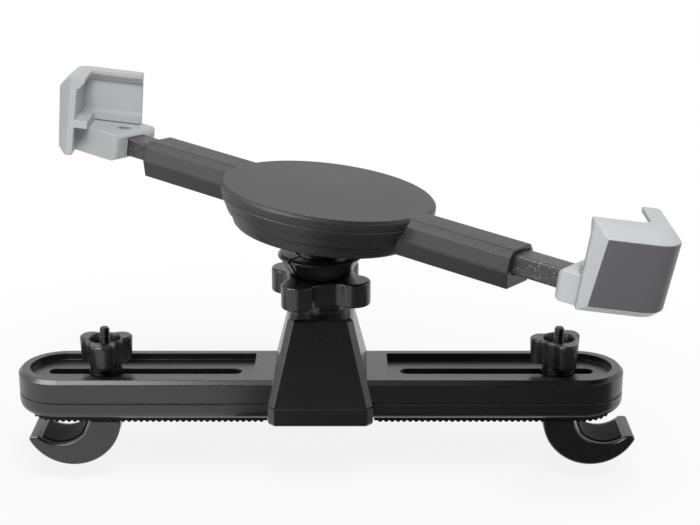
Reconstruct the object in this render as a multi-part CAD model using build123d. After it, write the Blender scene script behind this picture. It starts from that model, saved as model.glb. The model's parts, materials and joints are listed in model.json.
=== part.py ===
"""Headrest tablet mount: a slotted bar with two post hooks, a ball tower and a corner-grip holder.

Millimetres. X runs along the bar, Z points up out of the tower, and the origin is the middle of
the tower's flat underside. The holder is modelled in its own frame at the ball's centre, whose
Z is the ball neck's axis, and the arms in frames turned about that axis.
"""

from build123d import *

import math
import os

# Bar
bar_length = 223.4
bar_depth = 32.5
bar_height = 16.0
bar_foot = 0.7
parting_height = 7.2
parting_groove = 0.3
bar_chamfer = 1.4
bar_lower_round = 3.6
bar_wall = 2.4

# Troughs and slots in the bar
trough_depth = 2.4
trough_rim = 4.3
trough_tower_margin = 5.5
trough_floor = 2.4
slot_width = 5.2
slot_tower_margin = 10.4
slot_end_margin = 11.1
slot_wall = 1.6

# Ribbed strips under the bar
rib_pitch = 2.2
rib_width = 1.7
rib_height = 0.6
strip_sink = 1.2
strip_stand = 1.6
strip_margin = 4.0
strip_tower_margin = 0.4

# Tower
tower_foot_width = 38.0
tower_foot_depth = 41.5
tower_foot_round = 1.5
tower_top_width = 23.3
tower_top_depth = 24.0
tower_top = 38.0
tower_corner = 2.2
tower_wall = 2.6
tower_edge = 0.8

# Ball and its slotted socket, with heights above the tower's top
ball_radius = 9.0
ball_rise = 18.0
ball_play = 0.3
socket_stem_radius = 8.6
socket_sink = 11.0
socket_floor = 3.0
socket_cone_rise = 10.8
socket_rim_wall = 6.0
socket_rim_rise = 21.0
socket_bead = 0.9
socket_bead_proud = 0.45
socket_rise = 22.4
socket_mouth_bevel = 1.0
socket_mouth_flare = 0.8
socket_slit = 1.0
socket_slit_turn = 45.0
socket_slit_rise = 10.4

# Collar nut
nut_lobes = 4
nut_rise = 5.0
nut_height = 9.0
nut_lobe_circle = 14.2
nut_lobe_radius = 6.2
nut_core_radius = 12.6
nut_valley_radius = 4.0
nut_edge = 0.5
nut_turn = -33.0
nut_play = 0.3

# Neck and dish behind the holder
holder_tilt = 7.0
neck_radius = 5.0
neck_length = 3.4
neck_flare = 2.5
neck_fit = 0.08
dish_height = 4.3
dish_radius = 34.3
dish_draft = 1.2
dish_edge = 1.0
dish_floor = 2.2
dish_rim = 3.0
dish_slope = 1.0
pivot_radius = 8.0
pivot_fit = 0.05
pivot_pad = 4.0
pivot_washer_radius = 11.5
pivot_washer_height = 1.2

# Holder housing
disc_radius = 38.6
disc_flare = 3.2
disc_shoulder_rise = 6.8
disc_groove = 0.4
disc_wall = 2.6
housing_gap = 0.3
housing_wall = 1.6
housing_edge = 1.0
parting_rise = 3.2
sleeve_drop = 2.8
sleeve_roof = 1.45
sleeve_end = 78.5
sleeve_foot_width = 14.6
sleeve_width = 18.6
sleeve_shoulder_width = 16.2
sleeve_shoulder_drop = 2.3
sleeve_top_width = 11.6
sleeve_clear = 1.0
guide_room = 1.5

# Arms
arm_angle = 33.5
slider_width = 10.0
slider_height = 7.0
slider_length = 72.0
slider_lift = 0.3
slider_play = 0.25
slider_edge = 0.5
stop_pin_radius = 1.5
stop_pin_depth = 3.3
stop_inset = 4.0
stop_stand = 1.5
stop_end_wall = 6.7
right_extension = 18.5
left_extension = 11.5

# Corner grips, measured from the pocket's inner corner and from the grip's underside
grip_wall = 5.4
grip_floor = 1.4
grip_height = 29.7
grip_leg = 23.4
grip_leg_rake = 1.3
grip_lean = 2.0
grip_lip = 2.8
grip_lip_edge = 1.6
grip_lip_root = 0.6
grip_lip_round = 3.5
grip_ledge_rise = 13.7
grip_ledge_reach = 5.0
grip_ledge_plate = 3.0
grip_throat_rise = 25.5
grip_round = 9.0
grip_bevel = 4.4
grip_foot_bevel = 2.4
grip_end_bevel = 2.9
grip_end_flare = 2.1
foot_reach = 28.0
foot_width = 24.0
foot_height = 10.4
foot_round = 2.4
foot_margin = 2.4
foot_socket = 13.0
panel_sink = 0.8

# Post hooks, measured from the stud towards the bar's end
left_stud_inset = 32.2
right_stud_inset = 24.1
hook_width = 20.0
hook_gap = 0.3
hook_centre_out = 12.2
hook_centre_drop = 1.8
hook_radius = 18.0
bore_centre_out = 17.0
bore_centre_rise = 0.2
bore_radius = 11.7
hook_tip_angle = 47.0
hook_tip_fall = 0.8
hook_tip_round = 1.2
hook_edge = 0.6
hook_pad_depth = 1.2
hook_pad_proud = 0.5
hook_pad_width = 14.4
hook_pad_start_angle = -136.0
hook_pad_end_angle = -56.0
tongue_length = 8.0
tongue_top_gap = 3.1
tongue_root = 1.0
tongue_corner = 1.4
tongue_play = 0.2

# Clamp studs and knobs
stud_radius = 1.9
stud_top = 31.0
stud_chamfer = 0.6
stud_head_across = 6.6
stud_head_height = 3.0
stud_head_drop = 8.0
washer_radius = 6.2
washer_height = 1.0
knob_lobes = 3
knob_hub_radius = 5.8
knob_hub_height = 2.6
knob_height = 9.4
knob_draft_angle = 3.0
knob_lobe_circle = 6.3
knob_lobe_radius = 4.3
knob_core_radius = 6.9
knob_valley_radius = 2.8
knob_edge = 0.6
knob_recess_radius = 5.8
knob_recess_floor_radius = 4.6
knob_recess_depth = 4.6
insert_radius = 3.2
insert_stand = 2.4
left_knob_turn = 0.0
right_knob_turn = 20.0
front_angle = -90.0

# Screws
screw_head_radius = 2.4
screw_head_height = 1.7
screw_radius = 1.2
drive_radius = 1.0
drive_depth = 0.8
boss_wall = 1.7
shell_screw_length = 7.2
end_screw_inset = 5.8
tower_screw_inset_x = 6.0
tower_screw_inset_y = 5.4
housing_screw_length = 5.5
housing_screw_inset = 5.8
housing_screw_angles = (55, 125, 235, 305)
grip_screw_wall = 1.5
bolt_radius = 1.6
bolt_play = 0.4
bolt_head_radius = 4.0
bolt_reach = 7.0

# Clearances
seat = 0.1
thread_play = 0.15
snug = 0.02
running = 0.3

# A cut that has to run out of a piece is this many times the piece's size
cut_through = 4.0

parts = {}


def slab(sketch, bottom, top):
    return Pos(0, 0, bottom) * extrude(sketch, top - bottom)


def tube(outer, inner, bottom, top):
    return slab(Circle(outer) - Circle(inner), bottom, top)


def rod(radius, bottom, top):
    return slab(Circle(radius), bottom, top)


def turned(points):
    """A solid of revolution from an outline of (radius, height) points."""
    return revolve(Plane.XZ * make_face(Polyline(points, close=True)), Axis.Z)


def chamfered_rectangle(width, depth, corner):
    x = width / 2
    y = depth / 2
    points = []
    for sx, sy in ((1, 1), (-1, 1), (-1, -1), (1, -1)):
        side = (sx * x, sy * (y - corner))
        end = (sx * (x - corner), sy * y)
        points += [side, end] if sx * sy > 0 else [end, side]
    return make_face(Polyline(points, close=True))


def lobed(count, circle, lobe, core, valley, turn):
    """Round lobes on a core, with the valleys between them rounded."""
    shape = Circle(core)
    for k in range(count):
        shape += Rot(0, 0, turn + 360 * k / count) * Pos(circle, 0) * Circle(lobe)
    valleys = [v for v in shape.vertices() if math.hypot(v.X, v.Y) < circle + lobe - seat]
    return fillet(valleys, valley)


def screw(length, radius=screw_radius, head=screw_head_radius):
    """A flat-headed screw that points up, with the underside of its head at Z 0."""
    shank = rod(radius, 0, length)
    top = rod(head, -screw_head_height, 0)
    drive = rod(drive_radius, -screw_head_height, -screw_head_height + drive_depth)
    return shank + top - drive


# Places along the bar
bar_end = bar_length / 2
tower_side = tower_foot_width / 2
trough_floor_z = bar_height - trough_depth
bar_roof = trough_floor_z - trough_floor
trough_width = bar_depth - 2 * trough_rim
trough_inner = tower_side + trough_tower_margin
trough_round_x = bar_end - trough_rim - trough_width / 2
slot_inner = tower_side + slot_tower_margin
slot_outer = bar_end - slot_end_margin
slot_place = Pos((slot_inner + slot_outer) / 2, 0)
slot_length = slot_outer - slot_inner
slot_sketch = slot_place * SlotOverall(slot_length, slot_width)
slot_wall_sketch = slot_place * SlotOverall(slot_length + 2 * slot_wall, slot_width + 2 * slot_wall)
strip_inner = tower_side + strip_tower_margin
strip_outer = bar_end - strip_margin
strip_width = bar_depth - 2 * strip_margin
strip_round_x = strip_outer - strip_width / 2
strip_top = bar_foot + strip_sink
strip_face = bar_foot - strip_stand
rib_tip = strip_face - rib_height
end_screw_x = bar_end - end_screw_inset
tower_screw_x = tower_side - tower_screw_inset_x
tower_screw_y = tower_foot_depth / 2 - tower_screw_inset_y
shell_screws_at = [(-end_screw_x, 0), (end_screw_x, 0)]
shell_screws_at += [(sx * tower_screw_x, sy * tower_screw_y) for sx in (-1, 1) for sy in (-1, 1)]
screw_seat = screw_head_height + strip_top
boss_radius = screw_radius + boss_wall
hook_top = rib_tip - hook_gap
both_ways = (Rot(0, 0, 0), Rot(0, 0, 180))

# Heights up the tower
socket_bottom = tower_top - socket_sink
socket_top = tower_top + socket_rise
cone_bottom = tower_top + socket_cone_rise
rim_height = tower_top + socket_rim_rise
rim_radius = ball_radius + socket_rim_wall
ball_height = tower_top + ball_rise
nut_bottom = tower_top + nut_rise
nut_top = nut_bottom + nut_height

# Heights in the holder's frame, from the ball's centre
dish_bottom = ball_radius + neck_length
dish_top = dish_bottom + dish_height
rear_floor = dish_top + housing_gap
rear_floor_top = rear_floor + housing_wall
hub_top = rear_floor_top + seat
slider_bottom = rear_floor_top + slider_lift
channel_bottom = slider_bottom - slider_play
channel_top = slider_bottom + slider_height + slider_play
channel_width = slider_width + 2 * slider_play
housing_parting = rear_floor + parting_rise
disc_shoulder = rear_floor + disc_shoulder_rise
housing_top = channel_top + sleeve_roof
hollow_radius = disc_radius - disc_flare - disc_wall
sleeve_bottom = rear_floor - sleeve_drop
stop_height = housing_parting + stop_pin_radius + running
grip_bottom = slider_bottom - grip_floor
grip_top = grip_bottom + grip_height
grip_ledge = grip_bottom + grip_ledge_rise
grip_throat = grip_bottom + grip_throat_rise
foot_top = grip_bottom + foot_height
holder = Pos(0, 0, ball_height) * Rot(0, holder_tilt, 0)
along_arms = Rot(0, 0, -arm_angle)


def tower_loft(inset, bottom, top):
    """The tower's taper between two heights, with its sides set in by a wall."""
    sections = []
    for z in (bottom, top):
        share = (z - parting_height) / (tower_top - parting_height)
        width = tower_foot_width + share * (tower_top_width - tower_foot_width) - 2 * inset
        depth = tower_foot_depth + share * (tower_top_depth - tower_foot_depth) - 2 * inset
        sections.append(Pos(0, 0, z) * chamfered_rectangle(width, depth, tower_corner))
    return loft(sections, ruled=True)


def round_ended(inner, round_x, width, inset=0.0):
    """A strip in plan from beside the tower to a half-round end, set in all round."""
    straight = Rectangle(round_x - inner - inset, width - 2 * inset, align=(Align.MIN, Align.CENTER))
    return Pos(inner + inset, 0) * straight + Pos(round_x, 0) * Circle(width / 2 - inset)


def top_edges(solid):
    return solid.faces().sort_by(Axis.Z)[-1].edges()


def bottom_edges(solid):
    return solid.faces().sort_by(Axis.Z)[0].edges()


def make_bar():
    """The bar's two mouldings with the tower, and the screws that hold them together."""
    outline = SlotOverall(bar_length, bar_depth)
    inner = SlotOverall(bar_length - 2 * bar_wall, bar_depth - 2 * bar_wall)
    trough = round_ended(trough_inner, trough_round_x, trough_width)
    foot_plan = chamfered_rectangle(tower_foot_width, tower_foot_depth, tower_corner)

    upper = slab(outline, parting_height, bar_height)
    upper = chamfer(top_edges(upper), bar_chamfer)
    upper = chamfer(bottom_edges(upper), parting_groove)
    tower = tower_loft(0, parting_height, tower_top)
    tower = chamfer(top_edges(tower), tower_edge)
    upper += chamfer(bottom_edges(tower), parting_groove)
    upper -= slab(inner, parting_height, bar_roof) - tower
    upper -= tower_loft(tower_wall, parting_height, socket_bottom - socket_floor)
    for way in both_ways:
        upper -= way * slab(trough, trough_floor_z, bar_height)
        upper += way * slab(slot_wall_sketch, parting_height, bar_roof)
        upper -= way * slab(slot_sketch, parting_height, trough_floor_z)
    for x, y in shell_screws_at:
        upper += Pos(x, y) * rod(boss_radius, parting_height, bar_roof)
        upper -= Pos(x, y) * rod(screw_radius + snug, parting_height, screw_seat + shell_screw_length)
    upper -= rod(socket_stem_radius + snug, socket_bottom, tower_top)
    upper -= rod(bolt_radius + bolt_play, socket_bottom - socket_floor, socket_bottom)
    parts["bar_top_shell"] = upper

    lower = slab(outline, bar_foot, parting_height)
    lower = chamfer(top_edges(lower), parting_groove)
    lower = fillet(bottom_edges(lower), bar_lower_round)
    foot = slab(foot_plan, 0, parting_height)
    foot = chamfer(top_edges(foot), parting_groove)
    lower += fillet(bottom_edges(foot), tower_foot_round)
    foot_width_inside = tower_foot_width - 2 * tower_wall
    foot_depth_inside = tower_foot_depth - 2 * tower_wall
    floor_top = strip_top + bar_wall
    lower -= slab(inner, floor_top, parting_height)
    lower -= slab(
        chamfered_rectangle(foot_width_inside, foot_depth_inside, tower_corner), floor_top, parting_height
    )
    strip = round_ended(strip_inner, strip_round_x, strip_width)
    for way in both_ways:
        lower += way * slab(slot_wall_sketch, floor_top, parting_height)
        lower -= way * slab(slot_sketch, 0, parting_height)
        lower -= way * slab(strip, 0, strip_top)
    for x, y in shell_screws_at:
        lower += Pos(x, y) * rod(boss_radius, floor_top, parting_height)
        lower -= Pos(x, y) * rod(screw_radius + snug, screw_seat, parting_height)
        lower -= Pos(x, y) * rod(screw_head_radius + seat, 0, screw_seat)
    parts["bar_bottom_shell"] = lower

    parts["shell_screws"] = Compound(
        children=[Pos(x, y, screw_seat) * screw(shell_screw_length) for x, y in shell_screws_at]
    )


def make_strips():
    """Rubber strips whose round ribs bear on the headrest's posts."""
    length = strip_outer - strip_inner
    count = int((length - rib_width) / rib_pitch)
    first = strip_inner + (length - (count - 1) * rib_pitch) / 2
    line = [Line((strip_inner, strip_top), (strip_inner, strip_face))]
    at = strip_inner
    for k in range(count):
        x = first + k * rib_pitch
        start = (x - rib_width / 2, strip_face)
        end = (x + rib_width / 2, strip_face)
        line.append(Line((at, strip_face), start))
        line.append(ThreePointArc(start, (x, rib_tip), end))
        at = x + rib_width / 2
    line.append(Line((at, strip_face), (strip_outer, strip_face)))
    line.append(Line((strip_outer, strip_face), (strip_outer, strip_top)))
    line.append(Line((strip_outer, strip_top), (strip_inner, strip_top)))
    profile = Plane.XZ * make_face(Wire(line))
    strip = extrude(profile, strip_width / 2, both=True)
    strip &= slab(round_ended(strip_inner, strip_round_x, strip_width, seat), rib_tip, strip_top)
    strip -= slab(slot_sketch, rib_tip, strip_top)
    for side, way in zip(("right", "left"), both_ways):
        parts[f"{side}_rib_strip"] = way * strip


def cone_radius(z):
    """Outer radius of the socket's flare at a height."""
    share = (z - cone_bottom) / (rim_height - cone_bottom)
    return socket_stem_radius + share * (rim_radius - socket_stem_radius)


def make_socket():
    bead_radius = rim_radius + socket_bead_proud
    cup = turned(
        [
            (0, socket_bottom),
            (socket_stem_radius, socket_bottom),
            (socket_stem_radius, cone_bottom),
            (cone_radius(rim_height - socket_bead), rim_height - socket_bead),
            (bead_radius, rim_height),
            (bead_radius, rim_height + socket_bead_proud),
            (rim_radius - socket_bead_proud, socket_top),
            (0, socket_top),
        ]
    )
    cavity = ball_radius + ball_play
    mouth_height = socket_top - socket_mouth_bevel
    mouth = math.sqrt(cavity**2 - (mouth_height - ball_height) ** 2)
    cup -= Pos(0, 0, ball_height) * Sphere(cavity)
    cup -= turned(
        [(0, mouth_height), (mouth, mouth_height), (mouth + socket_mouth_flare, socket_top), (0, socket_top)]
    )
    slit = slab(Rectangle(cut_through * bead_radius, socket_slit), tower_top + socket_slit_rise, socket_top)
    for turn in (socket_slit_turn, -socket_slit_turn):
        cup -= Rot(0, 0, turn) * slit
    cup -= rod(bolt_radius + snug, socket_bottom, socket_bottom + bolt_reach)
    parts["ball_socket"] = cup
    bolt = screw(socket_floor + bolt_reach, bolt_radius, bolt_head_radius)
    parts["socket_screw"] = Pos(0, 0, socket_bottom - socket_floor) * bolt


def make_nut():
    turn = front_angle + nut_turn
    sketch = lobed(nut_lobes, nut_lobe_circle, nut_lobe_radius, nut_core_radius, nut_valley_radius, turn)
    nut = slab(sketch, nut_bottom, nut_top)
    nut = chamfer(nut.faces().filter_by(Axis.Z).edges(), nut_edge)
    nut -= turned(
        [
            (0, nut_bottom),
            (socket_stem_radius + nut_play, nut_bottom),
            (socket_stem_radius + nut_play, cone_bottom),
            (cone_radius(nut_top) + nut_play, nut_top),
            (0, nut_top),
        ]
    )
    parts["collar_nut"] = nut


def make_head():
    """The ball, and the dish whose neck grows out of it."""
    parts["ball"] = holder * Sphere(ball_radius)
    floor_z = dish_bottom + dish_floor
    dish = turned(
        [
            (0, 0),
            (neck_radius, 0),
            (neck_radius, dish_bottom - neck_flare),
            (neck_radius + neck_flare, dish_bottom),
            (dish_radius - dish_draft - dish_edge, dish_bottom),
            (dish_radius - dish_draft, dish_bottom + dish_edge),
            (dish_radius, dish_top),
            (dish_radius - dish_rim, dish_top),
            (dish_radius - dish_rim - dish_slope, floor_z),
            (pivot_radius + pivot_pad + dish_slope, floor_z),
            (pivot_radius + pivot_pad, dish_top),
            (pivot_radius, dish_top),
            (pivot_radius, hub_top),
            (0, hub_top),
        ]
    )
    dish -= Sphere(ball_radius + neck_fit)
    dish -= rod(bolt_radius + snug, hub_top - bolt_reach, hub_top)
    parts["back_dish"] = holder * dish

    washer_top = hub_top + pivot_washer_height
    parts["pivot_washer"] = holder * tube(pivot_washer_radius, bolt_radius + bolt_play, hub_top, washer_top)
    bolt = Rot(180, 0, 0) * screw(bolt_reach, bolt_radius, bolt_head_radius)
    parts["pivot_screw"] = holder * Pos(0, 0, washer_top) * bolt


def sleeve_bar():
    """Both sleeves' outside as one bar of six-sided section, through the disc."""
    half = [
        (sleeve_foot_width / 2, sleeve_bottom),
        (sleeve_width / 2, housing_parting),
        (sleeve_shoulder_width / 2, housing_top - sleeve_shoulder_drop),
        (sleeve_top_width / 2, housing_top),
    ]
    outline = half + [(-y, z) for y, z in reversed(half)]
    return extrude(Plane.YZ * make_face(Polyline(outline, close=True)), sleeve_end, both=True)


def make_housing():
    disc = turned(
        [
            (0, rear_floor),
            (disc_radius - disc_flare, rear_floor),
            (disc_radius, disc_shoulder - disc_groove),
            (disc_radius - disc_groove, disc_shoulder),
            (disc_radius, disc_shoulder + disc_groove),
            (disc_radius, housing_top - housing_edge),
            (disc_radius - housing_edge, housing_top),
            (0, housing_top),
        ]
    )
    dish_room = rod(dish_radius + sleeve_clear, 0, rear_floor)
    whole = disc + along_arms * (sleeve_bar() - dish_room)
    whole -= rod(hollow_radius, rear_floor_top, channel_top)
    channel = Pos(0, 0, channel_bottom) * Box(
        cut_through * sleeve_end,
        channel_width,
        channel_top - channel_bottom,
        align=(Align.CENTER, Align.CENTER, Align.MIN),
    )
    channel -= rod(dish_radius + sleeve_clear + housing_wall, 0, rear_floor_top)
    whole -= along_arms * channel
    groove = Pos(0, channel_width / 2, housing_parting) * Box(
        sleeve_end - stop_end_wall,
        stop_stand + running,
        2 * (stop_pin_radius + running),
        align=(Align.MIN, Align.MIN, Align.MIN),
    )
    for way in both_ways:
        whole -= along_arms * way * groove
    below = slab(Rectangle(cut_through * sleeve_end, cut_through * sleeve_end), 0, housing_parting)
    rear = whole & below
    front = whole - below

    rail_plan = Rectangle(2 * hollow_radius, channel_width + 2 * housing_wall)
    rail_plan -= Rectangle(cut_through * hollow_radius, channel_width)
    rail = slab(rail_plan, rear_floor_top, housing_parting)
    rail -= rod(pivot_washer_radius + guide_room, rear_floor_top, housing_parting)
    rear += along_arms * rail
    rear -= rod(pivot_radius + pivot_fit, rear_floor, rear_floor_top)
    screws_at = [
        along_arms * Rot(0, 0, a) * Pos(hollow_radius - housing_screw_inset, 0) for a in housing_screw_angles
    ]
    seat_z = rear_floor + screw_head_height
    for at in screws_at:
        rear += at * rod(boss_radius, rear_floor_top, housing_parting)
        front += at * rod(boss_radius, housing_parting, channel_top)
        rear -= at * rod(screw_head_radius + seat, rear_floor, seat_z)
        rear -= at * rod(screw_radius + snug, seat_z, housing_parting)
        front -= at * rod(screw_radius + snug, housing_parting, seat_z + housing_screw_length)
    parts["holder_rear_shell"] = holder * rear
    parts["holder_front_shell"] = holder * front
    parts["holder_screws"] = Compound(
        children=[holder * at * Pos(0, 0, seat_z) * screw(housing_screw_length) for at in screws_at]
    )


def grip_points(share):
    """At a share of a grip's height: how far its outer faces stand out, its leg and its end's bevel."""
    out = grip_wall + share * grip_lean
    leg = grip_leg - share * grip_leg_rake
    end = grip_end_bevel + share * grip_end_flare
    return out, leg, end


def grip_plan(z, inset):
    """The square that a grip is cut from at a height, set in from its two outer faces."""
    out, leg, end = grip_points((z - grip_bottom) / grip_height)
    points = [
        (-leg, leg),
        (-leg, -out + end),
        (-leg + end - inset, -out + inset),
        (out - inset, -out + inset),
        (out - inset, leg - end + inset),
        (out - end, leg),
    ]
    plan = make_face(Polyline(points, close=True))
    corner = plan.vertices().sort_by_distance((out - inset, inset - out))[0]
    return Pos(0, 0, z) * fillet(corner, grip_round - inset)


def panel_plan(z):
    """The band along a grip's outer faces at a height, between its two end bevels."""
    out, leg, end = grip_points((z - grip_bottom) / grip_height)
    inner = out - panel_sink
    points = [
        (end - leg, -out),
        (out, -out),
        (out, leg - end),
        (inner, leg - end),
        (inner, -inner),
        (end - leg, -inner),
    ]
    plan = make_face(Polyline(points, close=True))
    for face, radius in ((out, grip_round), (inner, grip_round - panel_sink)):
        plan = fillet(plan.vertices().sort_by_distance((face, -face))[0], radius)
    return Pos(0, 0, z) * plan


def corner_plan(inset):
    """The quarter of a plan towards the holder that starts this far inside the pocket's two walls."""
    size = cut_through * grip_leg
    return Pos(-inset, inset) * Rectangle(size, size, align=(Align.MAX, Align.MIN))


def quadrant(inset, bottom, top, corner_round=0.0):
    plan = corner_plan(inset)
    if corner_round:
        plan = fillet(plan.vertices().sort_by_distance((-inset, inset))[0], corner_round)
    return slab(plan, bottom, top)


def make_grip_shell():
    """A corner grip with its foot, and the panel let into its outer faces, at the pocket's corner."""
    panel_bottom = grip_bottom + grip_foot_bevel
    panel_top = grip_top - grip_bevel
    sections = [
        grip_plan(grip_bottom, grip_foot_bevel),
        grip_plan(panel_bottom, 0),
        grip_plan(panel_top, 0),
        grip_plan(grip_top, grip_bevel),
    ]
    shell = loft(sections, ruled=True)
    plate_bottom = grip_ledge - grip_ledge_plate
    lip_edge = grip_top - grip_lip_edge
    shell -= quadrant(0, grip_bottom, plate_bottom)
    shell -= quadrant(grip_ledge_reach, plate_bottom, grip_ledge)
    shell -= quadrant(0, grip_ledge, grip_throat)
    shell -= quadrant(grip_lip, grip_throat, grip_top, grip_lip_round)
    slope = [
        Pos(0, 0, z) * corner_plan(inset)
        for z, inset in ((grip_throat, grip_lip_root), (lip_edge, grip_lip))
    ]
    shell -= loft(slope, ruled=True)

    panel = loft([panel_plan(panel_bottom), panel_plan(panel_top)], ruled=True)
    shell -= panel

    foot = Pos(-foot_reach, 0, grip_bottom) * Box(
        foot_reach - grip_wall, foot_width, foot_height, align=(Align.MIN, Align.CENTER, Align.MIN)
    )
    foot = fillet(foot.faces().sort_by(Axis.X)[0].edges(), foot_round)
    foot = along_arms * foot
    shell += foot & quadrant(foot_margin - grip_wall, grip_bottom, grip_top)
    return shell, panel


def make_arm(extension):
    """A slider with its stop pin, grip, panel and screw, pulled this far out of the sleeve."""
    foot_face = sleeve_end + extension
    to_corner = Pos(foot_face + foot_reach, 0, 0) * Rot(0, 0, arm_angle)
    shell, panel = make_grip_shell()
    grip = to_corner * shell
    slider_outer = foot_face + foot_socket
    slider_inner = slider_outer - slider_length
    slider = Pos(slider_inner, 0, slider_bottom) * Box(
        slider_length, slider_width, slider_height, align=(Align.MIN, Align.CENTER, Align.MIN)
    )
    slider = chamfer(slider.edges().filter_by(Axis.X), slider_edge)
    grip -= slider

    head_seat = foot_top - screw_head_height
    screw_at = Pos(foot_face + foot_socket / 2, 0, head_seat) * Rot(180, 0, 0)
    screw_reach = head_seat - slider_bottom - grip_screw_wall
    shank_room = screw_at * rod(screw_radius + snug, 0, screw_reach)
    grip -= shank_room + screw_at * rod(screw_head_radius + seat, -screw_head_height, 0)
    slider -= shank_room

    pin_at = Pos(slider_inner + stop_inset, slider_width / 2, stop_height) * Rot(-90, 0, 0)
    slider -= pin_at * rod(stop_pin_radius + snug, -stop_pin_depth, stop_stand)
    return {
        "grip": grip,
        "grip_panel": to_corner * panel,
        "slider": slider,
        "grip_screw": screw_at * screw(screw_reach),
        "stop_pin": pin_at * rod(stop_pin_radius, -stop_pin_depth, stop_stand),
    }


def make_arms():
    for side, extension, way in zip(("right", "left"), (right_extension, left_extension), both_ways):
        for name, solid in make_arm(extension).items():
            parts[f"{side}_{name}"] = holder * along_arms * way * solid


def hook_sketch():
    """The hook's section, with X pointing from the stud to the bar's end and Y up."""
    body = Pos(hook_centre_out, -hook_centre_drop) * Circle(hook_radius)
    size = cut_through * hook_radius
    body &= Pos(hook_centre_out, hook_top) * Rectangle(size, size, align=(Align.CENTER, Align.MAX))
    tip = math.radians(hook_tip_angle)
    tip_x = bore_centre_out + bore_radius * math.cos(tip)
    tip_y = bore_centre_rise - bore_radius * math.sin(tip)
    far = hook_centre_out + size
    mouth = [
        (bore_centre_out, hook_radius),
        (bore_centre_out, bore_centre_rise),
        (tip_x, tip_y),
        (far, tip_y - hook_tip_fall),
        (far, hook_radius),
    ]
    body -= make_face(Polyline(mouth, close=True))
    body -= Pos(bore_centre_out, bore_centre_rise) * Circle(bore_radius)
    return fillet(body.vertices().sort_by(Axis.X)[-1], hook_tip_round)


def pad_sketch():
    """The stretch of ring that lines the hook's bore."""
    outer = bore_radius + hook_pad_depth
    ring = Circle(outer) - Circle(bore_radius - hook_pad_proud)
    far = cut_through * outer
    middle = (hook_pad_start_angle + hook_pad_end_angle) / 2
    fan = [(0, 0)]
    for a in (hook_pad_start_angle, middle, hook_pad_end_angle):
        fan.append((far * math.cos(math.radians(a)), far * math.sin(math.radians(a))))
    return Pos(bore_centre_out, bore_centre_rise) * (ring & make_face(Polyline(fan, close=True)))


def along_y(sketch, width):
    return extrude(Plane.XZ * sketch, width / 2, both=True)


def hexagon(across_flats):
    return RegularPolygon(across_flats / 2, 6, major_radius=False)


def make_hook(side, place):
    """A post hook that slides under the bar, with its rubber pad and the stud it hangs from."""
    hook = along_y(hook_sketch(), hook_width)
    hook = chamfer(hook.faces().filter_by(Axis.Y).edges(), hook_edge)
    tongue_bottom = hook_top - tongue_root
    tongue_top = trough_floor_z - tongue_top_gap
    tongue = Pos(0, 0, tongue_bottom) * Box(
        tongue_length,
        slot_width - 2 * tongue_play,
        tongue_top - tongue_bottom,
        align=(Align.CENTER, Align.CENTER, Align.MIN),
    )
    hook += chamfer(tongue.edges().filter_by(Axis.Z), tongue_corner)
    pad = along_y(pad_sketch(), hook_pad_width)
    hook -= pad
    hook -= slab(hexagon(stud_head_across), -hook_radius - hook_centre_drop, -stud_head_drop)
    hook -= rod(stud_radius + snug, -stud_head_drop, tongue_top)

    stud = rod(stud_radius, -stud_head_drop, stud_top)
    stud = chamfer(stud.faces().sort_by(Axis.Z)[-1].edges(), stud_chamfer)
    head = hexagon(stud_head_across - 2 * snug)
    stud += slab(head, -stud_head_drop - stud_head_height, -stud_head_drop)
    parts[f"{side}_hook"] = place * hook
    parts[f"{side}_hook_pad"] = place * pad
    parts[f"{side}_stud"] = place * stud


def make_knob(side, place, turn):
    """A lobed knob with its threaded insert, on the washer that slides in the bar's trough."""
    washer_bottom = trough_floor_z + seat
    washer_top = washer_bottom + washer_height
    knob_bottom = washer_top + seat
    lobes_bottom = knob_bottom + knob_hub_height
    knob_top = lobes_bottom + knob_height
    recess_floor = knob_top - knob_recess_depth
    bore = stud_radius + thread_play
    start = front_angle + turn
    sketch = lobed(knob_lobes, knob_lobe_circle, knob_lobe_radius, knob_core_radius, knob_valley_radius, start)
    knob = extrude(Pos(0, 0, knob_top) * sketch, amount=knob_height, dir=(0, 0, -1), taper=knob_draft_angle)
    knob = chamfer(top_edges(knob), knob_edge)
    knob += rod(knob_hub_radius, knob_bottom, lobes_bottom)
    knob -= turned(
        [
            (0, recess_floor),
            (knob_recess_floor_radius, recess_floor),
            (knob_recess_radius, knob_top),
            (0, knob_top),
        ]
    )
    knob -= rod(insert_radius + snug, knob_bottom, recess_floor)
    parts[f"{side}_washer"] = place * tube(washer_radius, bore, washer_bottom, washer_top)
    parts[f"{side}_knob"] = place * knob
    parts[f"{side}_knob_insert"] = place * tube(insert_radius, bore, knob_bottom, recess_floor + insert_stand)


def make_clamps():
    right = Pos(bar_end - right_stud_inset, 0, 0)
    left = Pos(left_stud_inset - bar_end, 0, 0)
    make_hook("right", right)
    make_hook("left", left * Rot(0, 0, 180))
    make_knob("right", right, right_knob_turn)
    make_knob("left", left, left_knob_turn)


if __name__ == "__main__":
    os.makedirs("parts", exist_ok=True)
    make_bar()
    make_strips()
    make_socket()
    make_nut()
    make_head()
    make_housing()
    make_arms()
    make_clamps()
    for name, solid in parts.items():
        export_step(solid, f"parts/{name}.step")
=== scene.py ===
# %% [markdown]
# # A headrest tablet mount
# The mount hangs behind a car seat: two hooks grip the headrest's posts, and a ball joint carries a holder
# with sliding corner grips. Its pieces were drawn in CAD, so this lesson starts from them and gives them
# the look of moulded plastic, rubber and plated steel, with the small shapes that a CAD model leaves out.
# The first cell loads the pieces and keeps the box that they fill.

# %% Load the CAD pieces
import json
import math

import bmesh
import bpy
from mathutils import Matrix, Vector


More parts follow.
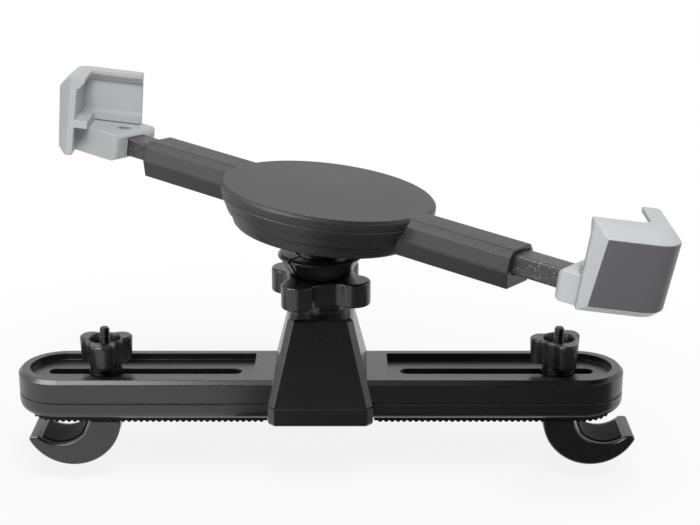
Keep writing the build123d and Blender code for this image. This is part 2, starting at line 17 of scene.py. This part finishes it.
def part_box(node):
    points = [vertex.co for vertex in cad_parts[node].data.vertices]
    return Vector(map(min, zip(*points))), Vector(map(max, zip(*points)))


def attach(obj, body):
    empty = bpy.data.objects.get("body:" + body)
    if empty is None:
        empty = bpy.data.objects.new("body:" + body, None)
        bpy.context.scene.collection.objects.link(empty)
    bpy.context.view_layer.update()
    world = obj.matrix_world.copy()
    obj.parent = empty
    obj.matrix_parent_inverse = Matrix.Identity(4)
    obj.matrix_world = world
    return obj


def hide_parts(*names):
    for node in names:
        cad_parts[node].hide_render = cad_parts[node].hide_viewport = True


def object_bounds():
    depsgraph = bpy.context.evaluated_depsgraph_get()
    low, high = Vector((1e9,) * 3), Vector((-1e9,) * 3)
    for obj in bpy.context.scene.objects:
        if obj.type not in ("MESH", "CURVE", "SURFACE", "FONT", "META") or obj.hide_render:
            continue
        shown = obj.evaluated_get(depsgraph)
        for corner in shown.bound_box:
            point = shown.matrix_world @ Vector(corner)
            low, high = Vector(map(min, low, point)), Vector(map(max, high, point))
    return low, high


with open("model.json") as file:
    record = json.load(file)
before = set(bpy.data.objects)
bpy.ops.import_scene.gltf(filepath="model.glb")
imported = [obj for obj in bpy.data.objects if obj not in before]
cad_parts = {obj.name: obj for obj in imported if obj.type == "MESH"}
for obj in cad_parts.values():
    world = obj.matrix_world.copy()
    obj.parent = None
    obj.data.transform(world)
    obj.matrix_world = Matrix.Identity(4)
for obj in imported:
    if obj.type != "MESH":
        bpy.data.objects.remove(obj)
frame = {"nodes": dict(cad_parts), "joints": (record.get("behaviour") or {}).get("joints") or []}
cad_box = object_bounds()
nodes = frame["nodes"]
MM = 0.001

# %% [markdown]
# ## Writing shaders as sums
# A finish is a small sum: grain plus a slow change of tone, less what is rubbed off at the edges. Blender
# writes sums as Math nodes, which are slow to read. So a socket is wrapped in a class whose operators add
# those nodes, and a finish has one method that adds any other node. Colours and vectors don't go through
# the operators, because a Math node would turn them grey.


# %% Sockets that can be added and multiplied
class Socket:
    """An output socket whose arithmetic adds Math nodes to its finish."""

    def __init__(self, finish, socket):
        self.finish = finish
        self.socket = socket

    def math(self, operation, first, second):
        return self.finish.node("ShaderNodeMath", {"operation": operation}, {0: first, 1: second})

    def __add__(self, other):
        return self.math("ADD", self, other)

    def __radd__(self, other):
        return self.math("ADD", other, self)

    def __sub__(self, other):
        return self.math("SUBTRACT", self, other)

    def __rsub__(self, other):
        return self.math("SUBTRACT", other, self)

    def __mul__(self, other):
        return self.math("MULTIPLY", self, other)

    def __rmul__(self, other):
        return self.math("MULTIPLY", other, self)

    def __abs__(self):
        return self.finish.node("ShaderNodeMath", {"operation": "ABSOLUTE"}, {0: self})


class Finish:
    """The node tree of a material or of the world, filled by one method."""

    EDGE_START, EDGE_FULL = 0.02, 0.25

    def __init__(self, owner, output="ShaderNodeOutputMaterial"):
        owner.use_nodes = True
        self.tree = owner.node_tree
        self.tree.nodes.clear()
        self.output = self.tree.nodes.new(output)

    def node(self, kind, settings={}, inputs={}, give=0):
        """Adds a node: its settings first, then the values or links of its sockets."""
        made = self.tree.nodes.new(kind)
        for name, value in settings.items():
            setattr(made, name, value)
        for name, value in inputs.items():
            if isinstance(value, Socket):
                self.tree.links.new(value.socket, made.inputs[name])
            else:
                made.inputs[name].default_value = value
        return Socket(self, made.outputs[give])

    def show(self, shader):
        self.tree.links.new(shader.socket, self.output.inputs["Surface"])

    def ramp(self, value, low, high, to_low=0.0, to_high=1.0):
        """A value stretched smoothly from one range to another, and held at its ends."""
        settings = {"interpolation_type": "SMOOTHSTEP"}
        inputs = {0: value, 1: low, 2: high, 3: to_low, 4: to_high}
        return self.node("ShaderNodeMapRange", settings, inputs)

    def mix(self, factor, first, second):
        """A colour between two colours."""
        settings = {"data_type": "RGBA", "clamp_factor": True}
        return self.node("ShaderNodeMix", settings, {0: factor, 6: first, 7: second}, give=2)

    def place(self):
        """Where a point lies on the piece itself, in metres."""
        return self.node("ShaderNodeTexCoord", give="Object")

    def part_of(self, vector, axis):
        """One of the three numbers of a vector."""
        return self.node("ShaderNodeSeparateXYZ", inputs={0: vector}, give=axis)

    def noise(self, size, detail=2.0, roughness=0.5):
        """Noise on the piece itself, with features about this many metres across."""
        inputs = {"Vector": self.place(), "Scale": 1 / size, "Detail": detail, "Roughness": roughness}
        return self.node("ShaderNodeTexNoise", inputs=inputs)

    def softened(self, radius):
        """The normal of the surface with its edges rounded to this radius."""
        return self.node("ShaderNodeBevel", {"samples": 6}, {"Radius": radius})

    def edges(self, rounded):
        """0 on flat faces, rising to 1 where the softened normal leaves the face's own."""
        flat = self.node("ShaderNodeNewGeometry", give="Normal")
        settings = {"operation": "DOT_PRODUCT"}
        along = self.node("ShaderNodeVectorMath", settings, {0: rounded, 1: flat}, give=1)
        return self.ramp(1 - along, self.EDGE_START, self.EDGE_FULL)


def new_finish(name):
    """A new material and its empty node tree."""
    material = bpy.data.materials.new(name)
    return material, Finish(material)


print("socket arithmetic ready")

# %% [markdown]
# ## The camera
# The photograph looks down on the mount by 18 degrees, square to the bar, from about 0.6 m. The lens is
# long for that distance, so what lies farther back is drawn only a little smaller.

# %% Camera
VIEW_DOWN = math.radians(18)
camera_data = bpy.data.cameras.new("camera")
camera_data.sensor_fit = "HORIZONTAL"
camera_data.sensor_width = 36.0
camera_data.lens = 82.29
camera = bpy.data.objects.new("camera", camera_data)
camera.location = (0.0107, -0.5514, 0.2351)
camera.rotation_euler = (math.pi / 2 - VIEW_DOWN, 0, 0)
bpy.context.scene.collection.objects.link(camera)
bpy.context.scene.camera = camera
print("camera at", tuple(camera.location))

# %% [markdown]
# ## The floor
# The floor is white paint, and for rays from the camera or off a gloss it mixes in a white of its own. So
# the background stays clean, while near the mount enough paint is left to show a faint shadow. More light
# on the floor would whiten it too, but that light would also reach the mount. The floor lies a little below
# the mount, so that a lowered hook stays in sight.

# %% Floor
FLOOR_GAP = 8 * MM
FLOOR_SIDE = 10.0
SHADOW_NEAR, SHADOW_FAR = 0.1, 0.3
WHITE_NEAR, WHITE_FAR = 0.86, 1.0
floor_height = cad_box[0].z - FLOOR_GAP
bpy.context.scene.view_settings.view_transform = "Standard"


def sheet(name, corner, first, second, material):
    """A rectangle of the studio from a corner and two sides, which isn't part of the mount."""
    mesh = bpy.data.meshes.new(name)
    corner, first, second = Vector(corner), Vector(first), Vector(second)
    points = [corner, corner + first, corner + first + second, corner + second]
    mesh.from_pydata(points, [], [(0, 1, 2, 3)])
    mesh.materials.append(material)
    made = bpy.data.objects.new(name, mesh)
    bpy.context.scene.collection.objects.link(made)
    return made


def watched(finish):
    """1 for rays that show the background: from the camera, off a gloss or through glass."""
    rays = ("Is Camera Ray", "Is Glossy Ray", "Is Transmission Ray")
    camera_ray, glossy_ray, clear_ray = [finish.node("ShaderNodeLightPath", give=name) for name in rays]
    return finish.node("ShaderNodeClamp", inputs={"Value": camera_ray + glossy_ray + clear_ray})


floor_material, paint = new_finish("white_floor")
distance = paint.node("ShaderNodeVectorMath", {"operation": "LENGTH"}, {0: paint.place()}, give="Value")
own_white = paint.ramp(distance, SHADOW_NEAR, SHADOW_FAR, WHITE_NEAR, WHITE_FAR)
painted = paint.node("ShaderNodeBsdfDiffuse", inputs={"Color": (0.92, 0.92, 0.92, 1)})
glow = paint.node("ShaderNodeEmission", inputs={"Color": (1, 1, 1, 1), "Strength": 1.0})
inputs = {0: watched(paint) * own_white, 1: painted, 2: glow}
paint.show(paint.node("ShaderNodeMixShader", inputs=inputs))
floor_corner = (-FLOOR_SIDE / 2, -FLOOR_SIDE / 2, floor_height)
sheet("floor", floor_corner, (FLOOR_SIDE, 0, 0), (0, FLOOR_SIDE, 0), floor_material)
print("floor at", round(floor_height, 4))

# %% [markdown]
# ## The room
# Black plastic shows little but what it mirrors, so the room around it matters more than the lamps. The
# world could be one grey, but then both halves of the bar would look alike. Here it is lighter on the left
# than on the right and lightest behind the mount. Rays from the camera or off a gloss see it white.

# %% Room
LEFT_LEVEL, RIGHT_LEVEL, BACK_LEVEL = 0.13, 0.065, 0.36
LEFT_END, RIGHT_END = -0.8, 0.6
BACK_START, BACK_FULL = -0.15, 0.45
world = bpy.data.worlds.new("room")
bpy.context.scene.world = world
room = Finish(world, "ShaderNodeOutputWorld")
way = room.node("ShaderNodeTexCoord", give="Generated")
camera_side = room.ramp(room.part_of(way, "X"), LEFT_END, RIGHT_END, LEFT_LEVEL, RIGHT_LEVEL)
behind = room.ramp(room.part_of(way, "Y"), BACK_START, BACK_FULL)
level = camera_side + behind * (BACK_LEVEL - camera_side)
inputs = {"Color": (1, 1, 1, 1), "Strength": level + watched(room) * (1 - level)}
room.show(room.node("ShaderNodeBackground", inputs=inputs))
print("room levels: left", LEFT_LEVEL, "right", RIGHT_LEVEL, "back", BACK_LEVEL)

# %% [markdown]
# ## Dark cards
# A photographer keeps black plastic black with dark cards that it mirrors. One lies on the floor before the
# right half of the mount, one hangs over it and one stands behind the camera. They are hidden from the
# camera, cast no shadow and leave the matt surfaces alone, so only gloss shows them.


# %% Cards
def paper(name, shade):
    """Matt paper of an even grey."""
    material, finish = new_finish(name)
    finish.show(finish.node("ShaderNodeBsdfDiffuse", inputs={"Color": (shade, shade, shade, 1)}))
    return material


grey_paper = paper("grey_paper", shade=0.1)
black_paper = paper("black_paper", shade=0.01)
cards = [
    sheet("front_card", (-0.034, -0.9, floor_height + MM), (0.75, 0, 0), (0, 0.885, 0), grey_paper),
    sheet("upper_card", (-0.15, -0.9, 0.75), (1.05, 0, 0), (0, 1.3, 0), black_paper),
    sheet("camera_card", (-0.35, -0.95, 0.0), (1.07, 0, 0), (0, 0, 0.9), black_paper),
]
for card in cards:
    card.visible_camera = False
    card.visible_diffuse = False
    card.visible_transmission = False
    card.visible_shadow = False
print("cards:", [card.name for card in cards])

# %% [markdown]
# ## Lamps
# A soft lamp above on the left draws the bright line along the bar's upper edge, and a strip at the left
# draws thin ones on upright edges. Both show in gloss only. The lamp above the camera is the other way
# round: it lights the pale grips and doesn't show in gloss.


# %% Lamps
def lamp(name, place, target, size, watts, matt=True, gloss=True):
    """A soft lamp at a place, pointed at a target, for matt surfaces, for gloss or for both."""
    data = bpy.data.lights.new(name, "AREA")
    data.shape = "RECTANGLE"
    data.size, data.size_y = size
    data.energy = watts
    made = bpy.data.objects.new(name, data)
    made.location = place
    made.rotation_euler = (Vector(target) - Vector(place)).to_track_quat("-Z", "Y").to_euler()
    made.visible_diffuse = matt
    made.visible_glossy = gloss
    bpy.context.scene.collection.objects.link(made)
    print(f"{name} lamp: {watts} W")


middle = (cad_box[0] + cad_box[1]) / 2
lamp("overhead", (-0.56, -0.38, 0.95), middle, size=(0.8, 0.7), watts=11.0, matt=False)
lamp("left", (-0.85, -0.35, 0.35), middle, size=(0.12, 0.6), watts=1.5, matt=False)
lamp("front", (0.1, -0.66, 0.92), middle, size=(0.5, 0.5), watts=10.2, gloss=False)

# %% [markdown]
# ## Moulded plastic
# Every plastic piece here comes out of a steel mould whose face was etched, so it carries a fine grain.
# The grain is real relief, a few hundredths of a millimetre deep, and could be modelled only with millions
# of faces; a Bump node gives the same highlights. Three more things keep it from looking like paint: a slow
# change of tone where the melt cooled, painted glints that lighten the base colour on the grain's peaks in
# place of light caught by the grains, and edges that handling has polished.
# The two halves of the bar meet in a groove, the parting line, which is made matt and painted dark as the
# shade that falls in the groove.

# %% Moulded plastic
TONE_SIZE = 0.045
TONE_DARK, TONE_LIGHT = 0.82, 1.18
RUBBED_GAIN, RUBBED_LIFT = 1.6, 0.012
GLINT_START, GLINT_FULL = 0.58, 0.72
GLINT_SHARE, RUBBED_SHARE = 0.8, 0.25
TONE_ROUGH, RUBBED_SMOOTH, GRAIN_ROUGH = 0.12, 0.04, 0.06
PARTING_HEIGHT = 7.2 * MM
LINE_CORE, LINE_EDGE = 0.22 * MM, 0.36 * MM
SEAM_SHADE_BLACK = (0.001, 0.001, 0.001, 1)
LINE_ROUGH = 0.6


def shaded(colour, gain, lift=0.0):
    """A colour made darker or lighter, as the four numbers that a socket takes."""
    return [c * gain + lift for c in colour] + [1]


def moulded(name, colour, rough, grain, depth, painted_glint_lift, mirror=0.5, soft=0.4 * MM, parting=None):
    """Plastic with an etched grain: its size and depth in metres, and how far its painted glints lift the
    colour.

    Mirror is its specular level and soft the radius of its edges. A parting line, painted dark as the shade
    in its groove, may lie at a height.
    """
    material, finish = new_finish(name)
    relief = finish.noise(grain, detail=3.0, roughness=0.6)
    tone = finish.noise(TONE_SIZE)
    rounded = finish.softened(soft)
    worn = finish.edges(rounded)
    # painted glints: the grain's peaks get a lighter base colour, standing for the light that they catch
    painted_glint = finish.ramp(relief, GLINT_START, GLINT_FULL)
    base = finish.mix(tone, shaded(colour, TONE_DARK), shaded(colour, TONE_LIGHT))
    base = finish.mix(painted_glint * GLINT_SHARE, base, shaded(colour, 1, painted_glint_lift))
    base = finish.mix(worn * RUBBED_SHARE, base, shaded(colour, RUBBED_GAIN, RUBBED_LIFT))
    roughness = rough + (tone - 0.5) * TONE_ROUGH - worn * RUBBED_SMOOTH + (relief - 0.5) * GRAIN_ROUGH
    # painted shade in the parting groove: the base colour goes nearly black along the line, which is also
    # made matt
    if parting is not None:
        height = finish.part_of(finish.place(), "Z")
        line = finish.ramp(abs(height - parting), LINE_CORE, LINE_EDGE, 1.0, 0.0)
        base = finish.mix(line, base, SEAM_SHADE_BLACK)
        roughness = roughness + line * LINE_ROUGH
    inputs = {"Strength": 0.6, "Distance": depth, "Height": relief, "Normal": rounded}
    bump = finish.node("ShaderNodeBump", inputs=inputs)
    inputs = {"Base Color": base, "Roughness": roughness, "Normal": bump, "Specular IOR Level": mirror}
    finish.show(finish.node("ShaderNodeBsdfPrincipled", inputs=inputs))
    return material


print("moulded plastic ready")

# %% The plastics of the mount
satin_black = moulded(
    "satin_black",
    (0.0082, 0.0078, 0.0082),
    rough=0.29,
    grain=0.0004,
    depth=0.000012,
    painted_glint_lift=0.002,
    mirror=0.87,
    soft=0.3 * MM,
    parting=PARTING_HEIGHT,
)
grained_black = moulded(
    "grained_black", (0.0235, 0.0215, 0.023), rough=0.44, grain=0.0005, depth=0.00006, painted_glint_lift=0.03
)
glitter_black = moulded(
    "glitter_black", (0.05, 0.048, 0.051), rough=0.42, grain=0.0006, depth=0.0001, painted_glint_lift=0.5
)
smooth_black = moulded(
    "smooth_black", (0.014, 0.0134, 0.014), rough=0.28, grain=0.0006, depth=0.000006, painted_glint_lift=0.0, mirror=0.7
)
light_grey = moulded(
    "light_grey", (0.56, 0.578, 0.582), rough=0.42, grain=0.0004, depth=0.000012, painted_glint_lift=0.0
)
slate_grey = moulded(
    "slate_grey", (0.125, 0.125, 0.13), rough=0.4, grain=0.0004, depth=0.000012, painted_glint_lift=0.0
)
plastics = (satin_black, grained_black, glitter_black, smooth_black, light_grey, slate_grey)
print("plastics:", [m.name for m in plastics])

# %% [markdown]
# ## Rubber
# The ribs under the bar and the linings of the hooks are soft rubber. It scatters light more than plastic
# does and dulls unevenly where it is touched, so its roughness is high and follows a blotchy noise.

# %% Rubber
BLOOM_SIZE, PORE_SIZE = 0.006, 0.00025
BLOOM_START, BLOOM_FULL = 0.35, 0.7
BLOOM_DARK, BLOOM_PALE = 0.8, 1.5
RUBBER_ROUGH, BLOOM_ROUGH = 0.56, 0.2


def rubber(name, colour):
    """Soft rubber, dull in blotches and finely pored."""
    material, finish = new_finish(name)
    bloom = finish.noise(BLOOM_SIZE, detail=4.0, roughness=0.65)
    pores = finish.noise(PORE_SIZE)
    dulled = finish.ramp(bloom, BLOOM_START, BLOOM_FULL)
    base = finish.mix(dulled, shaded(colour, BLOOM_DARK), shaded(colour, BLOOM_PALE))
    bump = finish.node("ShaderNodeBump", inputs={"Strength": 0.5, "Distance": 0.00003, "Height": pores})
    roughness = RUBBER_ROUGH + bloom * BLOOM_ROUGH
    inputs = {"Base Color": base, "Roughness": roughness, "Normal": bump, "Specular IOR Level": 0.25}
    finish.show(finish.node("ShaderNodeBsdfPrincipled", inputs=inputs))
    return material


black_rubber = rubber("black_rubber", (0.007, 0.007, 0.007))
print("rubber:", black_rubber.name)

# %% [markdown]
# ## Blackened and plated steel
# The studs, the washers under the knobs and the inserts in them are steel with a black oxide finish, which
# stays metal but dark. The other small parts are zinc plated. Both are a little uneven from the tool that
# turned them and from the bath that coloured them. Rings could be drawn for the tool's marks, but at this
# size a fine noise in the relief shows the same, and a slower one stains the colour.

# %% Steel
MARK_SIZE, STAIN_SIZE = 0.0004, 0.004
STAIN_START, STAIN_END = 0.4, 0.65
STAIN_DARK, STAIN_ROUGH = 0.7, 0.2


def steel(name, colour, rough):
    """Turned steel with a coating of this colour."""
    material, finish = new_finish(name)
    marks = finish.noise(MARK_SIZE, detail=3.0)
    stain = finish.noise(STAIN_SIZE, detail=3.0)
    clean = finish.ramp(stain, STAIN_START, STAIN_END)
    base = finish.mix(clean, shaded(colour, STAIN_DARK), shaded(colour, 1))
    bump = finish.node("ShaderNodeBump", inputs={"Strength": 0.4, "Distance": 0.00001, "Height": marks})
    roughness = rough + (stain - 0.5) * STAIN_ROUGH
    inputs = {"Base Color": base, "Metallic": 1.0, "Roughness": roughness, "Normal": bump}
    finish.show(finish.node("ShaderNodeBsdfPrincipled", inputs=inputs))
    return material


black_steel = steel("black_steel", (0.06, 0.06, 0.062), rough=0.36)
zinc = steel("zinc", (0.52, 0.53, 0.55), rough=0.34)
print("steels:", black_steel.name, zinc.name)

# %% [markdown]
# ## Which piece has which finish
# The bar, tower and hooks share one satin mould finish. The holder's housing and its dish are coarser, and
# the sliders coarsest of all, with painted glints on their grains. The nut, the socket and the knobs are
# smooth nylon.
# What isn't listed is zinc plated: the screws, the stop pins and the pivot's washer.

# %% Give each piece its finish
blackened = ("stud", "knob_insert", "washer")
finishes = {
    satin_black: ["bar_top_shell", "bar_bottom_shell", "left_hook", "right_hook"],
    grained_black: ["holder_rear_shell", "holder_front_shell", "back_dish"],
    glitter_black: ["left_slider", "right_slider"],
    smooth_black: ["ball_socket", "collar_nut", "ball", "left_knob", "right_knob"],
    black_rubber: ["left_rib_strip", "right_rib_strip", "left_hook_pad", "right_hook_pad"],
    light_grey: ["left_grip", "right_grip"],
    slate_grey: ["left_grip_panel", "right_grip_panel"],
    black_steel: [f"{side}_{piece}" for side in ("left", "right") for piece in blackened],
}
finish_of = {name: material for material, names in finishes.items() for name in names}
for name, piece in nodes.items():
    piece.data.materials.clear()
    piece.data.materials.append(finish_of.get(name, zinc))
print({m.name: len(names) for m, names in finishes.items()})

# %% [markdown]
# ## Threaded studs
# A stud with a six-sided head stands in each hook, and its threaded end rises through the knob. In the CAD
# model it is a plain rod, because a thread has too many faces for it. A thread could be cut with a Screw
# modifier, but its ends would stay open. Here the rod's wall is a grid whose rows climb by one pitch on
# their way round, so that a ridge along a row is a helix, and a row's end joins the start of the row that
# is one pitch higher. Rows that would pass an end of the thread are held there, and merging them closes
# the rod cleanly.


# %% Meshes from rings
def turned(bm, profile, corners):
    """A closed solid of revolution about Z from rows of radius and height, with this many corners."""
    turns = [2 * math.pi * k / corners for k in range(corners)]
    rings = [[bm.verts.new((r * math.cos(a), r * math.sin(a), z)) for a in turns] for r, z in profile]
    for lower, upper in zip(rings, rings[1:]):
        for k in range(corners):
            after = (k + 1) % corners
            bm.faces.new((lower[k], lower[after], upper[after], upper[k]))
    bm.faces.new(rings[0][::-1])
    bm.faces.new(rings[-1])


def finished_mesh(bm, name, material):
    """The mesh of what was built, with its edges sharp and its rounds smooth."""
    bmesh.ops.recalc_face_normals(bm, faces=bm.faces)
    for face in bm.faces:
        face.smooth = True
    mesh = bpy.data.meshes.new(name)
    bm.to_mesh(mesh)
    bm.free()
    mesh.set_sharp_from_angle(angle=math.radians(32))
    mesh.materials.append(material)
    return mesh


def add_piece(name, mesh, body, node):
    """A piece that stands for a CAD node and moves with its body."""
    piece = bpy.data.objects.new(name, mesh)
    bpy.context.scene.collection.objects.link(piece)
    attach(piece, body)
    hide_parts(node)
    print(f"{name}: {len(mesh.polygons)} faces on {body}")


print("mesh helpers ready")

# %% Threaded studs
HEAD_HEIGHT = 3.0 * MM
HEAD_SIDES = 6
STUD_EDGE = 0.35 * MM
THREAD_LOW = 14.5 * MM
THREAD_PITCH = 0.7 * MM
THREAD_ROOT = 1.45 * MM
THREAD_CREST = 1.88 * MM
THREAD_COLUMNS, THREAD_STEPS = 32, 8
THREAD_FLAT = 0.15
SAME_POINT = 0.0005 * MM


def add_thread(bm, low, high, root, crest, pitch):
    """A closed threaded rod about Z, with a flat on its crests and in its roots."""
    columns, steps = THREAD_COLUMNS, THREAD_STEPS
    rows = steps * (int((high - low) / pitch) + 3)
    grid = []
    for row in range(rows + 1):
        ridge = 1 - abs(2 * (row / steps % 1) - 1)
        ridge = min(max((1 + 2 * THREAD_FLAT) * ridge - THREAD_FLAT, 0), 1)
        line = []
        for column in range(columns):
            z = low + (row / steps + column / columns - 1) * pitch
            z = min(max(z, low), high)
            runout = min((z - low) / pitch, (high - z) / pitch, 1)
            radius = root + (crest - root) * ridge * runout
            angle = 2 * math.pi * column / columns
            line.append(bm.verts.new((radius * math.cos(angle), radius * math.sin(angle), z)))
        grid.append(line)
    for row in range(rows):
        here, above = grid[row], grid[row + 1]
        for column in range(columns - 1):
            bm.faces.new((here[column], here[column + 1], above[column + 1], above[column]))
        if row + 1 + steps <= rows:
            bm.faces.new((here[-1], grid[row + steps][0], grid[row + 1 + steps][0], above[-1]))
    bmesh.ops.remove_doubles(bm, verts=bm.verts, dist=SAME_POINT)
    bmesh.ops.holes_fill(bm, edges=[e for e in bm.edges if e.is_boundary], sides=0)


for side in ("left", "right"):
    low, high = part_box(f"{side}_stud")
    head_corner = (high.x - low.x) / 2
    head_top = low.z + HEAD_HEIGHT
    shank = [(THREAD_CREST, head_top - STUD_EDGE), (THREAD_CREST, THREAD_LOW + STUD_EDGE)]
    head = [(head_corner - STUD_EDGE, low.z), (head_corner, low.z + STUD_EDGE), (head_corner, head_top)]
    bm = bmesh.new()
    add_thread(bm, THREAD_LOW, high.z, THREAD_ROOT, THREAD_CREST, THREAD_PITCH)
    turned(bm, shank, THREAD_COLUMNS)
    turned(bm, head, HEAD_SIDES)
    bmesh.ops.translate(bm, verts=bm.verts, vec=((low.x + high.x) / 2, (low.y + high.y) / 2, 0))
    mesh = finished_mesh(bm, f"{side}_threaded_stud", black_steel)
    add_piece(f"{side}_threaded_stud", mesh, f"{side}_hook", f"{side}_stud")

# %% [markdown]
# ## Cross-recessed screws
# The screws under the foot and in the grips show their heads. The CAD screws are plain turned shapes with a
# round hole, so they are made again with a domed head and a cross recess that tapers like the driver's tip.
# A recess could be drawn face by face, but a Boolean with a tapered cross is shorter and as clean.

# %% A cross-recessed screw
SCREW_HEAD = 1.7 * MM
SCREW_SIDES = 28
SHANK_RADIUS, POINT_RADIUS, POINT_LENGTH = 1.2 * MM, 0.6 * MM, 0.7 * MM
HEAD_PROFILE = [(1.6, -1.7), (2.1, -1.55), (2.35, -1.1), (2.4, -0.1), (2.3, 0)]
CROSS_ARM, CROSS_HALF = 1.35 * MM, 0.33 * MM
CROSS_RINGS = [(-1.9 * MM, 1.1), (-0.6 * MM, 0.6)]


def screw_blank(length):
    """A domed screw without its recess, which points up from the underside of its head at height 0."""
    profile = [(r * MM, z * MM) for r, z in HEAD_PROFILE] + [(SHANK_RADIUS, 0)]
    profile += [(SHANK_RADIUS, length - POINT_LENGTH), (POINT_RADIUS, length)]
    bm = bmesh.new()
    turned(bm, profile, SCREW_SIDES)
    return finished_mesh(bm, "screw_blank", zinc)


def driver_tip():
    """A cross that narrows upwards, from just outside the head to the bottom of the recess."""
    arm = [(CROSS_ARM, CROSS_HALF), (CROSS_HALF, CROSS_HALF), (CROSS_HALF, CROSS_ARM)]
    quarters = ((1, 0), (0, 1), (-1, 0), (0, -1))
    cross = [(x * c - y * s, x * s + y * c) for c, s in quarters for x, y in arm]
    bm = bmesh.new()
    wide, narrow = [[bm.verts.new((x * share, y * share, z)) for x, y in cross] for z, share in CROSS_RINGS]
    bm.faces.new(wide[::-1])
    bm.faces.new(narrow)
    for k in range(len(cross)):
        after = (k + 1) % len(cross)
        bm.faces.new((wide[k], wide[after], narrow[after], narrow[k]))
    return finished_mesh(bm, "driver_tip", zinc)


def cross_screw(length):
    """A screw mesh with its recess cut."""
    holders = [bpy.data.objects.new(mesh.name, mesh) for mesh in (screw_blank(length), driver_tip())]
    for holder in holders:
        bpy.context.scene.collection.objects.link(holder)
    cut = holders[0].modifiers.new("recess", "BOOLEAN")
    cut.object = holders[1]
    graph = bpy.context.evaluated_depsgraph_get()
    made = bpy.data.meshes.new_from_object(holders[0].evaluated_get(graph))
    for holder in holders:
        bpy.data.objects.remove(holder)
    return made


def screws_mesh(name, screw, places):
    """One mesh with a copy of a screw at each place."""
    bm = bmesh.new()
    for place in places:
        before = len(bm.verts)
        bm.from_mesh(screw)
        bm.verts.ensure_lookup_table()
        bmesh.ops.transform(bm, matrix=place, verts=bm.verts[before:])
    return finished_mesh(bm, name, zinc)


print("screw helpers ready")

# %% Screws under the bar and in the grips
FOOT_SCREWS = [(x * MM, y * MM) for x, y in ((-105.9, 0), (105.9, 0))]
FOOT_SCREWS += [(x * MM, y * MM) for x in (-13, 13) for y in (-15.35, 15.35)]
low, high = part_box("shell_screws")
seat = low.z + SCREW_HEAD
places = [Matrix.Translation((x, y, seat)) for x, y in FOOT_SCREWS]
mesh = screws_mesh("foot_screws", cross_screw(high.z - seat), places)
add_piece("foot_screws", mesh, "base", "shell_screws")

holder_axis = Vector(next(j["axis"] for j in frame["joints"] if j["name"] == "holder_spin")).normalized()
across_axis = holder_axis.orthogonal().normalized()
axes = (across_axis, holder_axis.cross(across_axis), holder_axis)
turn = Vector((0, 0, 1)).rotation_difference(-holder_axis).to_matrix().to_4x4()
for side in ("left", "right"):
    points = [v.co for v in nodes[f"{side}_grip_screw"].data.vertices]
    spans = [(min(p.dot(axis) for p in points), max(p.dot(axis) for p in points)) for axis in axes]
    centre = axes[0] * sum(spans[0]) / 2 + axes[1] * sum(spans[1]) / 2
    tip, top = spans[2]
    seat = top - SCREW_HEAD
    place = Matrix.Translation(centre + holder_axis * seat) @ turn
    mesh = screws_mesh(f"{side}_foot_screw", cross_screw(seat - tip), [place])
    add_piece(f"{side}_foot_screw", mesh, f"{side}_arm", f"{side}_grip_screw")

# %% [markdown]
# ## Softened edges
# No moulded edge is a true corner: the mould's own corners are cut round, and that thin round is what
# catches the light. A Bevel modifier adds it to each CAD piece but the ribbed strips, which are too fine
# for it; on the thin-walled bar and on what isn't plastic it is narrower. The pieces come with a separate
# copy of each corner for each face, so a Weld modifier joins these first. The modifier's clamp stays off:
# one short edge anywhere on a piece would shrink every round on it to nothing. Last, a Weighted Normal
# modifier lets the large faces decide the shading at their corners, or long thin triangles would show on
# the flat ones.

# %% Round the edges of the CAD pieces
FINE_ROUND, MOULD_ROUND = 0.12 * MM, 0.25 * MM
moulded_names = {name for material in plastics for name in finishes[material]}
thin_walled = {"bar_top_shell", "bar_bottom_shell"}
ribbed = {"left_rib_strip", "right_rib_strip"}
rounded_pieces = {name: piece for name, piece in nodes.items() if name not in ribbed}
for name, piece in rounded_pieces.items():
    weld = piece.modifiers.new("weld", "WELD")
    weld.merge_threshold = 0.002 * MM
    bevel = piece.modifiers.new("edge", "BEVEL")
    bevel.limit_method = "ANGLE"
    bevel.angle_limit = math.radians(35)
    bevel.width = MOULD_ROUND if name in moulded_names - thin_walled else FINE_ROUND
    bevel.segments = 3
    bevel.use_clamp_overlap = False
    shade = piece.modifiers.new("shade", "WEIGHTED_NORMAL")
    shade.mode = "FACE_AREA_WITH_ANGLE"
    shade.weight = 100
    shade.keep_sharp = True
print("edges rounded on", len(rounded_pieces), "pieces")
